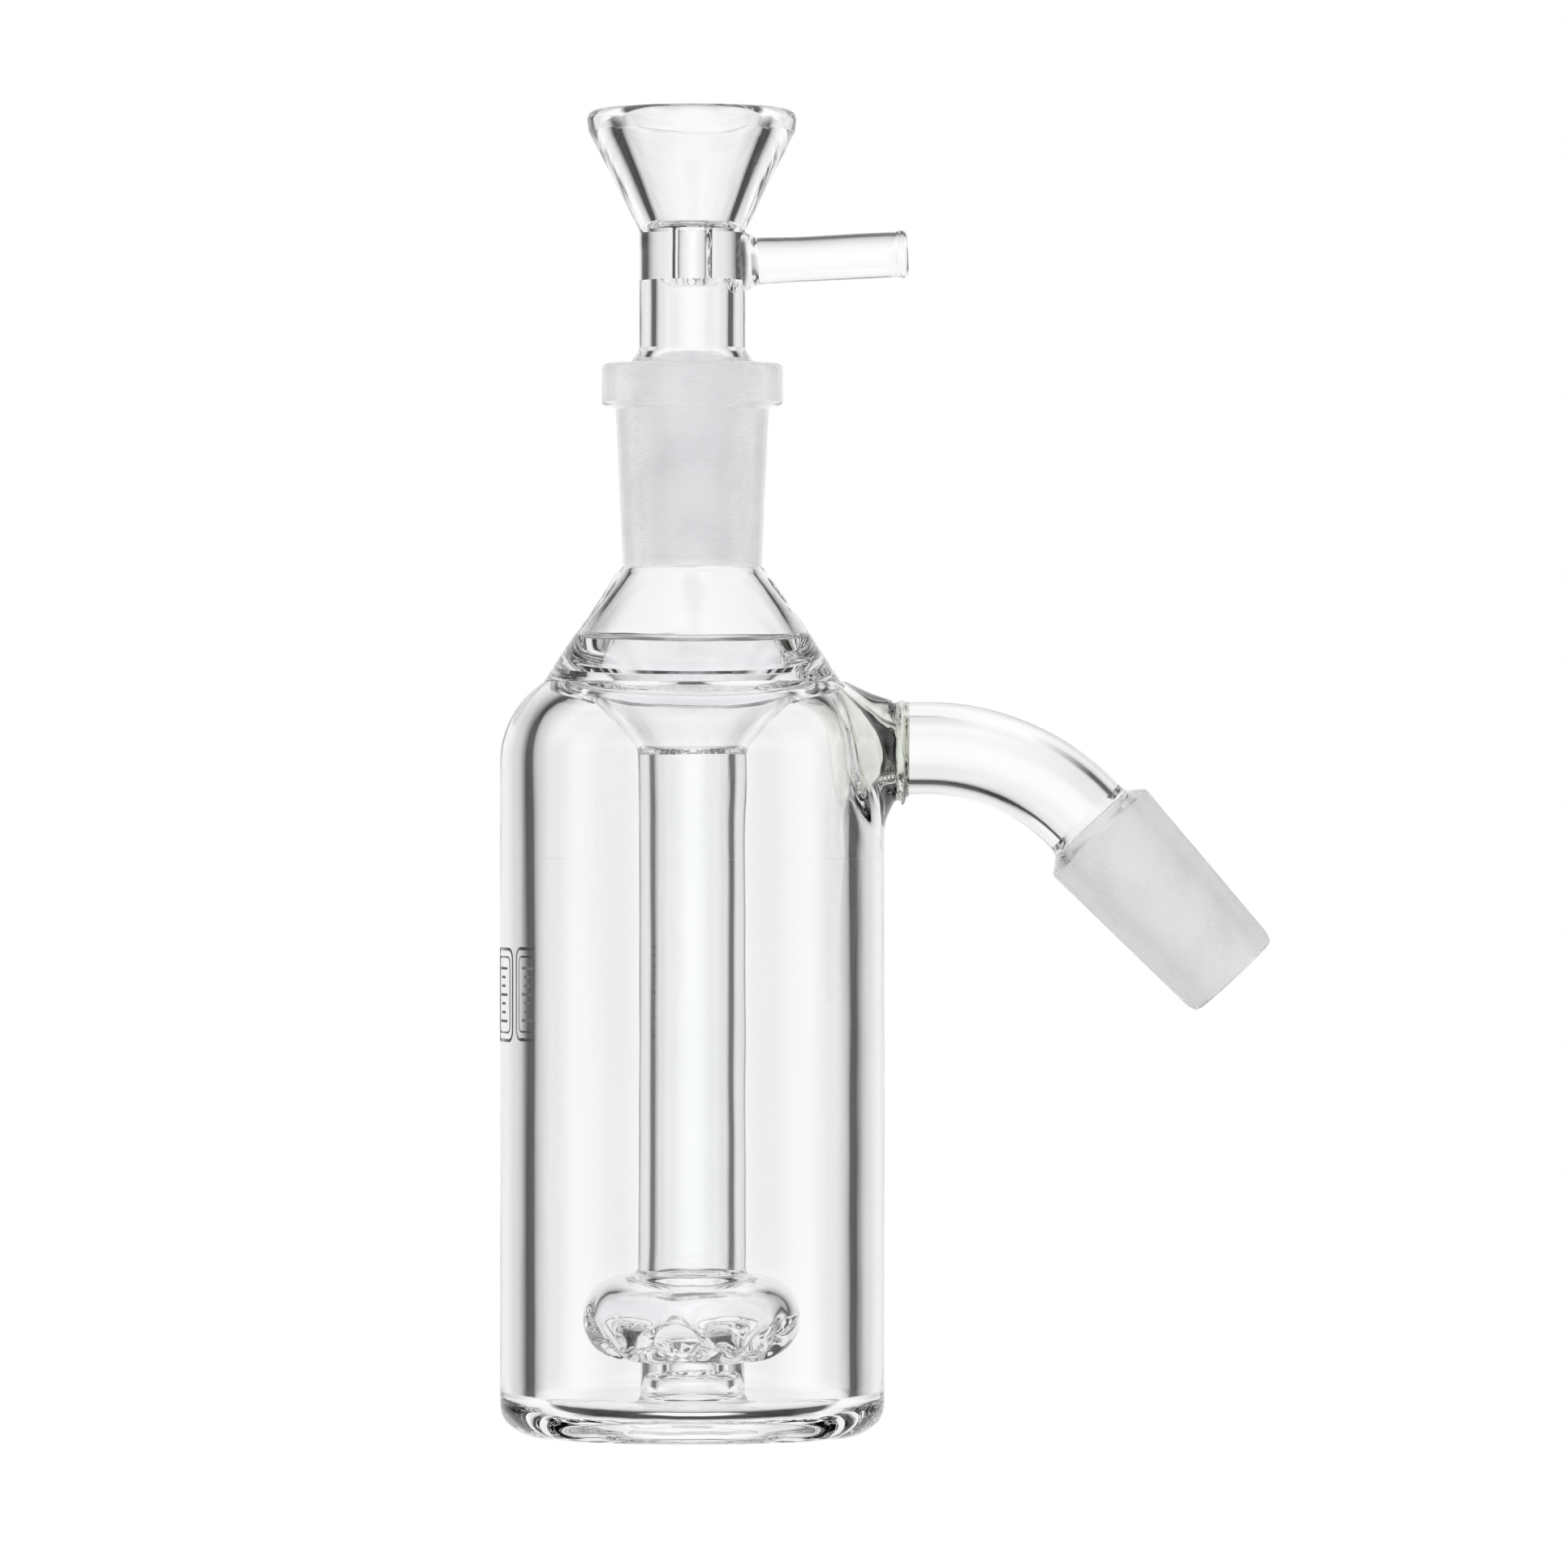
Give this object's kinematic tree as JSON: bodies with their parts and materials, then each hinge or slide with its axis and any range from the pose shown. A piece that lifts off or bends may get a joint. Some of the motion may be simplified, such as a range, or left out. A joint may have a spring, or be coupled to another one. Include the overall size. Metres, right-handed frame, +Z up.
{
  "type": "glass bubbler attachment",
  "caption": "Clear glass water-filter attachment: a cylindrical can with a percolator downstem, a ground inlet socket holding a lift-out cone bowl, and a bent side arm with a ground cone.",
  "frame": {"origin": "centre of the can's flat base, on the surface it stands on", "axes": "+Z up along the can and socket axis, +X towards the side arm, X-Z is the symmetry plane"},
  "size_m": [0.0882, 0.044, 0.1517],
  "materials": {
    "base_glass": "clear, heavy, polished",
    "can_glass": "clear, polished",
    "seal_glass": "clear, flame worked, faint violet in the thick ring",
    "neck_glass": "clear, flame worked",
    "inner_glass": "clear, polished",
    "percolator_glass": "clear, flame worked, uneven",
    "arm_glass": "clear, flame worked",
    "bowl_glass": "clear, flame worked",
    "handle_glass": "clear, fire polished",
    "ground_socket": "ground with fine turning lines, translucent white",
    "ground_cone": "ground, fine grain, translucent white",
    "ground_bowl_cone": "ground, fine grain, translucent white"
  },
  "bodies": {
    "bubbler": {"base_plate": "base_glass", "can_wall": "can_glass", "shoulder_dome": "can_glass", "seal_ring": "seal_glass", "neck_cone": "neck_glass", "inlet_socket": "ground_socket", "funnel": "inner_glass", "downstem": "inner_glass", "percolator_bulb": "percolator_glass", "percolator_foot": "percolator_glass", "foot_weld": "percolator_glass", "arm_boss": "arm_glass", "arm_bend": "arm_glass", "arm_flare": "arm_glass", "arm_ground_cone": "ground_cone"},
    "bowl_seat": {"bowl_ground_cone": "ground_bowl_cone"},
    "bowl": {"bowl_flare": "bowl_glass", "bowl_stem": "bowl_glass", "bowl_throat": "bowl_glass", "bowl_cup": "bowl_glass", "bowl_rim": "bowl_glass", "handle_rod": "handle_glass", "handle_tip": "handle_glass", "handle_weld": "handle_glass"}
  },
  "joints": [
    {"name": "bowl_lift", "type": "slide", "parent": "bubbler", "child": "bowl_seat", "axis": [0, 0, 1], "range_m": [0, 0.06]},
    {"name": "bowl_turn", "type": "hinge", "parent": "bowl_seat", "child": "bowl", "pos_m": [0, 0, 0.1226], "axis": [0, 0, 1], "continuous": true}
  ]
}
